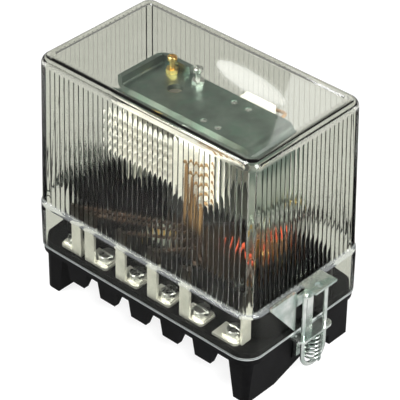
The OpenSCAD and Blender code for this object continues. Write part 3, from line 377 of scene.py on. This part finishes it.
def clear_plastic():
    """Clear moulded plastic with an olive cast. Its walls mirror little, so that what is inside stays legible.
    Its rim, shoulder and foot mirror fully, and the shoulder and foot are partly a pale blue-grey diffuse, a
    painted reflection. Shadow rays pass, so that what is inside is lit."""
    index, wall_mirror, foot_painted_sheen, shoulder_painted_sheen = 1.49, 0.15, 0.5, 0.18
    finish = Finish("clear_cover", transmission_weight=1.0, ior=index)
    haze = finish.noise(70.0, 4.0, 0.6)
    finish.set(base_color=finish.blend(haze, (0.67, 0.675, 0.62), (0.72, 0.725, 0.67)),
               roughness=0.01 + haze * 0.03)
    clear = finish.node("ShaderNodeBsdfRefraction", {}, {
        "Color": (0.832, 0.838, 0.804), "Roughness": 0.025, "IOR": index}).outputs["BSDF"]
    # A pale blue-grey diffuse at the shoulder and foot: painted reflection, standing in for the light these
    # curved edges mirror.
    painted_sheen = finish.node("ShaderNodeBsdfDiffuse", {}, {"Color": (0.68, 0.72, 0.73)}).outputs["BSDF"]
    passing = finish.node("ShaderNodeBsdfTransparent", {}, {"Color": (0.945, 0.947, 0.93)}).outputs["BSDF"]
    up = finish.axis("Z")
    foot = 1 - finish.spread(up, (SKIRT_Z + 0.3) * MM, (SKIRT_Z + 0.6) * MM)
    shoulder = (finish.spread(up, (LEDGE_Z - 1.5) * MM, (LEDGE_Z - 1.1) * MM)
                * (1 - finish.spread(up, (LEDGE_Z + 0.2) * MM, (LEDGE_Z + 0.5) * MM)))
    rim = finish.spread(up, (RIM_Z - 0.4) * MM, RIM_Z * MM)
    edges = foot.at_least(shoulder).at_least(rim)
    body = finish.blend_shaders(wall_mirror + edges * (1 - wall_mirror), clear, finish.shader.outputs["BSDF"])
    # Painted reflection: the pale diffuse is mixed in over the shoulder and foot.
    with_painted_sheen = finish.blend_shaders(foot * foot_painted_sheen + shoulder * shoulder_painted_sheen, body, painted_sheen)
    shadow = finish.node("ShaderNodeLightPath").outputs["Is Shadow Ray"]
    finish.feed(finish.output.inputs["Surface"], finish.blend_shaders(shadow, with_painted_sheen, passing))
    return finish


# Cover


def flute_rise(step):
    """How far a point of a flute lies behind the crest, in millimetres: a flat crest and a tight crease."""
    return FLUTE_DEPTH * (1 - math.sin(math.pi * (step % FLUTE_STEPS) / FLUTE_STEPS) ** CREST_FLATNESS)


def wall_points(length, distance, angle, depth, full):
    """Points along one wall; full is the straight length at the shoulder, which sets the number of flutes."""
    last = round(full / FLUTE_PITCH) * FLUTE_STEPS
    turn = Matrix.Rotation(math.radians(angle), 2)
    return [turn @ Vector((distance - depth * flute_rise(i), i * length / last - length / 2))
            for i in range(last + 1)]


def corner_points(cx, cy, radius, start, depth):
    """Points round one corner, without its two ends. The flutes run on round it."""
    last = round(math.pi * BODY_CORNER / 2 / FLUTE_PITCH) * FLUTE_STEPS
    points = []
    for i in range(1, last):
        angle = math.radians(start + 90 * i / last)
        reach = radius - depth * flute_rise(i)
        points.append(Vector((cx + reach * math.cos(angle), cy + reach * math.sin(angle))))
    return points


def ring(size, inset, radius, depth=0):
    """The outline of one level, drawn in from size by inset on every side, with flutes to that share of their
    depth. All outlines have the same number of points."""
    length, width = (side - 2 * inset for side in size)
    a, b = length / 2 - radius, width / 2 - radius
    full_a, full_b = (side - 2 * LEDGE - 2 * BODY_CORNER for side in SKIRT)
    return (
        wall_points(2 * b, length / 2, 0, depth, full_b) + corner_points(a, b, radius, 0, depth)
        + wall_points(2 * a, width / 2, 90, depth, full_a) + corner_points(-a, b, radius, 90, depth)
        + wall_points(2 * b, length / 2, 180, depth, full_b) + corner_points(-a, -b, radius, 180, depth)
        + wall_points(2 * a, width / 2, 270, depth, full_a) + corner_points(a, -b, radius, 270, depth))


def quarter_round(size, corner, radius, start_z, steps):
    """Levels over a rounded edge, from the upright wall at start_z to the flat top."""
    levels = []
    for i in range(steps + 1):
        turn = math.pi / 2 * i / steps
        inset = radius * (1 - math.cos(turn))
        levels.append((start_z + radius * math.sin(turn), ring(size, inset, corner - inset)))
    return levels


def wall_size(inset, z):
    """Length and width of the leaning walls at that height, drawn in by inset."""
    lean = DRAFT * (z - LEDGE_Z) / BODY_H
    return tuple(side - 2 * (inset + lean) for side in SKIRT)


def outer_levels():
    """(z, outline) of the outside, from the foot up to the recessed window in the top, in millimetres."""
    walls = wall_size(LEDGE, RIM_Z)
    skirt = ring(SKIRT, 0, SKIRT_CORNER)
    levels = [(SKIRT_Z, skirt), (SKIRT_Z + FOOT_RISE, skirt)]
    levels += quarter_round(SKIRT, SKIRT_CORNER, SHOULDER, LEDGE_Z - SHOULDER, ROUND_STEPS)
    levels.append((LEDGE_Z, ring(SKIRT, LEDGE - CREASE_FOOT, BODY_CORNER)))
    levels.append((LEDGE_Z + CREASE_RISE, ring(SKIRT, LEDGE, BODY_CORNER, 1)))
    levels.append((RIM_Z - FLUTE_FADE, ring(walls, 0, BODY_CORNER, 1)))
    levels += quarter_round(walls, BODY_CORNER, RIM, RIM_Z, RIM_STEPS)
    for drop, inset in zip((0, WINDOW_STEP, WINDOW_STEP), WINDOW_INSETS):
        levels.append((TOP_Z - drop, ring(walls, RIM + inset, WINDOW_CORNER)))
    return levels


def inner_levels():
    """(z, outline) of the inside, from the ceiling down to the foot, in millimetres."""
    round_z = TOP_Z - WALL - INNER_ROUND
    walls = wall_size(LEDGE + WALL, round_z)
    corner = BODY_CORNER - WALL
    step_z = LEDGE_Z - WALL
    levels = [(round_z + INNER_ROUND, ring(walls, INNER_ROUND + CEILING_INSET, CEILING_CORNER))]
    levels += reversed(quarter_round(walls, corner, INNER_ROUND, round_z, ROUND_STEPS))
    levels.append((step_z + INNER_FILLET, ring(SKIRT, LEDGE + WALL, corner)))
    levels.append((step_z, ring(SKIRT, LEDGE + WALL - INNER_FILLET, corner + INNER_FILLET)))
    for z, inset in ((step_z, INNER_SHOULDER), (step_z - INNER_SHOULDER, 0), (SKIRT_Z, 0)):
        levels.append((z, ring(SKIRT, WALL + inset, SKIRT_CORNER - WALL)))
    return levels


def place_ring(obj, z, outline):
    """Puts the selected ring of vertices on the outline, keeping their order."""
    chosen = [v for v in obj.data.vertices if v.select]
    for vertex, point in zip(chosen, outline):
        vertex.co = Vector((point.x, point.y, z)) * MM


def loft(levels):
    """A skin through rings of equal length: a circle, extruded level by level and laid on each outline."""
    clear_selection()
    bpy.ops.mesh.primitive_circle_add(vertices=len(levels[0][1]), radius=0.01, fill_type="NOTHING")
    obj = bpy.context.object
    place_ring(obj, *levels[0])
    for z, outline in levels[1:]:
        bpy.ops.object.mode_set(mode="EDIT")
        bpy.ops.mesh.extrude_region_move(TRANSFORM_OT_translate={"value": (0, 0, MM)})
        bpy.ops.object.mode_set(mode="OBJECT")
        place_ring(obj, z, outline)
    return obj


def select_open_edges(obj, z):
    """Edit mode, with the open edges at that height selected and nothing else."""
    select_only(obj)
    bpy.ops.object.mode_set(mode="EDIT")
    bpy.ops.mesh.select_non_manifold(extend=False, use_wire=False, use_boundary=True,
                                     use_multi_face=False, use_non_contiguous=False, use_verts=False)
    bpy.ops.object.mode_set(mode="OBJECT")
    points = obj.data.vertices
    for point in points:
        point.select = point.select and abs(point.co.z - z * MM) < SAME_HEIGHT
    for edge in obj.data.edges:
        edge.select = edge.select and all(points[i].select for i in edge.vertices)
    bpy.ops.object.mode_set(mode="EDIT")


def build_cover(finish):
    """Outer skin and inner skin, each capped at the top, joined round the foot."""
    outer, inner = outer_levels(), inner_levels()
    shell, lining = loft(outer), loft(inner)
    for skin, cap_z in ((shell, outer[-1][0]), (lining, inner[0][0])):
        select_open_edges(skin, cap_z)
        bpy.ops.mesh.edge_face_add()
    select_only(shell)
    lining.select_set(True)
    bpy.ops.object.join()
    select_open_edges(shell, SKIRT_Z)
    bpy.ops.mesh.bridge_edge_loops()
    bpy.ops.object.mode_set(mode="OBJECT")
    finish_mesh(shell, "clear_cover_shell", 30)
    shell.data.materials.append(finish.material)
    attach(shell, "relay")
    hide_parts("cover")


# Springs that change shape


def bending_strip(node, finish):
    """A merged copy of a contact spring, cut across at even steps along x."""
    cuts = 20
    name = node + "_strip"
    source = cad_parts[node]
    obj = bpy.data.objects.new(name, source.data.copy())
    bpy.context.scene.collection.objects.link(obj)
    finish_mesh(obj, name)
    obj.data.materials.clear()
    obj.data.materials.append(finish.material)
    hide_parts(node)
    low = min(v.co.x for v in obj.data.vertices)
    high = max(v.co.x for v in obj.data.vertices)
    select_only(obj)
    bpy.ops.object.mode_set(mode="EDIT")
    for i in range(1, cuts):
        bpy.ops.mesh.select_all(action="SELECT")
        bpy.ops.mesh.bisect(plane_co=(low + (high - low) * i / cuts, 0, 0), plane_no=(1, 0, 0))
    clear_selection()
    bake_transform(obj)


def coil_spring(node, finish, wire, turns, mean, free_end=0.0):
    """A round wire wound by the Screw modifier inside the node's box, which leaves free_end at its top and
    bottom, where the node has its hooks. wire and mean are radii."""
    wire_sides, steps_a_turn, smooth_angle = 10, 28, 60
    low, high = (Vector(c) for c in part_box(node))
    centre = (low + high) / 2
    bottom, top = low.z + wire, high.z - wire
    clear_selection()
    bpy.ops.mesh.primitive_circle_add(
        vertices=wire_sides, radius=wire, rotation=(math.pi / 2, 0, 0), location=(mean, 0, 0))
    obj = bpy.context.object
    bpy.ops.object.transform_apply(location=True, rotation=True, scale=True)
    screw = obj.modifiers.new("wind", "SCREW")
    screw.angle = 2 * math.pi * turns
    screw.screw_offset = top - bottom - 2 * free_end
    screw.steps = screw.render_steps = turns * steps_a_turn
    screw.use_smooth_shade = True
    bpy.ops.object.modifier_apply(modifier="wind")
    bpy.ops.object.mode_set(mode="EDIT")
    bpy.ops.mesh.select_all(action="DESELECT")
    bpy.ops.mesh.select_non_manifold()
    bpy.ops.mesh.edge_face_add()
    bpy.ops.object.mode_set(mode="OBJECT")
    obj.location = (centre.x, centre.y, bottom + free_end)
    finish_mesh(obj, node + "_wire", smooth_angle)
    obj.data.materials.append(finish.material)
    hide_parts(node)
    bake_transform(obj)


# Studio


def pale_floor():
    """A matt floor, white to the camera. Glass and metal see it white near the relay and dimmer further out, as
    a lit sheet of paper in a darker room."""
    size, drop = 6.0, 0.0002
    white_within, dim_beyond, dimming, mirrored = 0.3, 0.9, 0.7, 0.4
    clear_selection()
    bpy.ops.mesh.primitive_plane_add(size=size, location=(0, 0, -drop))
    floor = bpy.context.object
    floor.name = "floor"
    finish = Finish("floor", roughness=0.9, specular_ior_level=0.1, emission_strength=0.85)
    speckle = finish.noise(30.0, 3.0)
    away = finish.node("ShaderNodeVectorMath", {"operation": "LENGTH"}, {0: finish.place}).outputs["Value"]
    near = 1 - finish.spread(away, white_within, dim_beyond) * dimming
    path = finish.node("ShaderNodeLightPath")
    straight, through, glossy = (
        Number(finish, path.outputs[f"Is {ray} Ray"]) for ray in ("Camera", "Transmission", "Glossy"))
    seen = straight.at_least(through * near).at_least(glossy * near * mirrored)
    finish.set(
        base_color=finish.blend(speckle, (0.2, 0.2, 0.2), (0.23, 0.23, 0.23)),
        emission_color=finish.blend(seen, (0.0, 0.0, 0.0), (1.0, 1.0, 1.0)))
    floor.data.materials.append(finish.material)


def white_surround(diffuse, glossy, through):
    """The world is white to the camera, and gives the levels stated to diffuse, glossy and transmitted rays."""
    world = bpy.data.worlds.new("surround")
    bpy.context.scene.world = world
    world.use_nodes = True
    tree = world.node_tree
    path = tree.nodes.new("ShaderNodeLightPath")
    level = None
    for ray, value in (("Is Glossy Ray", glossy), ("Is Transmission Ray", through), ("Is Camera Ray", 1.0)):
        mix = tree.nodes.new("ShaderNodeMix")
        tree.links.new(path.outputs[ray], mix.inputs["Factor"])
        if level is None:
            mix.inputs[2].default_value = diffuse
        else:
            tree.links.new(level, mix.inputs[2])
        mix.inputs[3].default_value = value
        level = mix.outputs[0]
    background = tree.nodes["Background"]
    background.inputs["Color"].default_value = (1, 1, 1, 1)
    tree.links.new(level, background.inputs["Strength"])


def area_lamp(name, shape, place_mm, size_mm, watts):
    """A lamp with a surface, facing straight down."""
    data = bpy.data.lights.new(name, "AREA")
    data.shape = shape
    data.size, data.size_y = (side * MM for side in size_mm)
    data.energy = watts
    lamp = bpy.data.objects.new(name, data)
    bpy.context.scene.collection.objects.link(lamp)
    lamp.location = Vector(place_mm) * MM
    return lamp


def soft_lamp(name, place_mm, size_mm, watts):
    """A rectangular lamp that faces the relay's middle."""
    middle = Vector((0, 0, 60 * MM))
    lamp = area_lamp(name, "RECTANGLE", place_mm, size_mm, watts)
    lamp.rotation_euler = (middle - lamp.location).to_track_quat("-Z", "Y").to_euler()


def mirrored_lamp():
    """A small lamp beyond the relay, whose mirror image lies in the cover's smooth top."""
    lamp = area_lamp("mirrored", "ELLIPSE", (-780, 945, 900), (113, 32), 0.032)
    lamp.rotation_euler = (0, 0, math.radians(-9.4))


def photo_camera():
    """The photograph's own view."""
    data = bpy.data.cameras.new("photo_camera")
    data.sensor_width = SENSOR_MM
    data.lens = FOCAL_PX / PHOTO_PX * SENSOR_MM
    data.clip_start, data.clip_end = 0.01, 20
    camera = bpy.data.objects.new("photo_camera", data)
    bpy.context.scene.collection.objects.link(camera)
    turn = Matrix((RIGHT, UP, BACK)).transposed().to_4x4()
    camera.matrix_world = Matrix.Translation(EYE * MM) @ turn
    bpy.context.scene.camera = camera


# Assembly

STACKS = ("front", "rear")
ENDS = ("right", "left")
FIXED_SPRINGS = [f"{side}_spring_{i}" for side in STACKS for i in (1, 3, 5)]
MOVING_SPRINGS = [f"{side}_spring_{i}" for side in STACKS for i in (2, 4)]

nickel = metal("nickel_plate", (0.75, 0.76, 0.75), (0.55, 0.56, 0.55), 0.28)
soft_iron = metal("soft_iron", (0.45, 0.47, 0.45), (0.3, 0.31, 0.3), 0.42)
brass = metal("brass", (0.83, 0.6, 0.24), (0.6, 0.4, 0.14), 0.3)
nickel_silver = metal("nickel_silver", (0.97, 0.95, 0.91), (0.88, 0.85, 0.79), 0.5).set(metallic=0.3)
silver = metal("contact_silver", (0.86, 0.86, 0.84), (0.7, 0.7, 0.68), 0.3)
steel = metal("spring_steel", (0.62, 0.64, 0.62), (0.45, 0.47, 0.45), 0.3)
bright_zinc = zinc_with_green("bright_zinc", (0.88, 0.91, 0.87), (0.5, 0.56, 0.52), (0.3, 0.42, 0.37), 0.24)
bright_zinc.set(metallic=0.92)
latch_steel = zinc_with_green(
    "latch_spring_steel", (0.6, 0.64, 0.6), (0.4, 0.45, 0.41), (0.35, 0.5, 0.45), 0.3)

on(["base"], black_phenolic())
on([f"terminal_lug_{i}" for i in range(1, 13)] + ["terminal_washers"], tinned_lug())
on(["terminal_screws", "card_screws", "stack_screws", "spring_screw", "spring_nut", "bracket_screws"], nickel)
on(["frame"], frame_zinc())
on(["core", "armature"], soft_iron)
on(["frame_screws", "coil_tags", "hinge_pin", "stop_screw", "stop_nut"], brass)
on(["bobbin"], moulded("black_bobbin", (0.03, 0.03, 0.03), (0.014, 0.014, 0.014), 0.4))
on(["winding"], wound_tape())
on(["tag_board"], moulded("brown_board", (0.16, 0.08, 0.04), (0.08, 0.04, 0.02), 0.45))
on(["coil_leads"], part_sleeved_lead())
on([f"{side}_leads" for side in STACKS], varnished_leads())
on(["card"], moulded("white_card", (0.84, 0.82, 0.74), (0.72, 0.7, 0.62), 0.45))
on([f"{side}_spacers" for side in STACKS],
   moulded("white_ceramic", (0.92, 0.9, 0.85), (0.84, 0.82, 0.76), 0.4))
on(FIXED_SPRINGS, nickel_silver)
on(["fixed_contacts", "moving_contacts"], silver)
on([f"{side}_{piece}" for side in ENDS for piece in ("bracket", "bail", "hook")], bright_zinc)

build_cover(clear_plastic())

for spring in MOVING_SPRINGS:
    bending_strip(spring, nickel_silver)

coil_spring("return_spring", steel,
            wire=0.4 * MM, turns=14, mean=2.4 * MM, free_end=4.1 * MM)
for side in ENDS:
    coil_spring(f"{side}_latch_spring", latch_steel,
                wire=0.5 * MM, turns=6, mean=3.2 * MM)

pale_floor()
white_surround(diffuse=0.12, glossy=0.16, through=0.3)
soft_lamp("key", (-300, -600, 900), (500, 500), 14)
soft_lamp("side", (800, -100, 450), (400, 600), 14)
mirrored_lamp()
soft_lamp("back", (-200, 800, 700), (700, 400), 1.5)
photo_camera()
bpy.context.scene.view_settings.view_transform = "Standard"
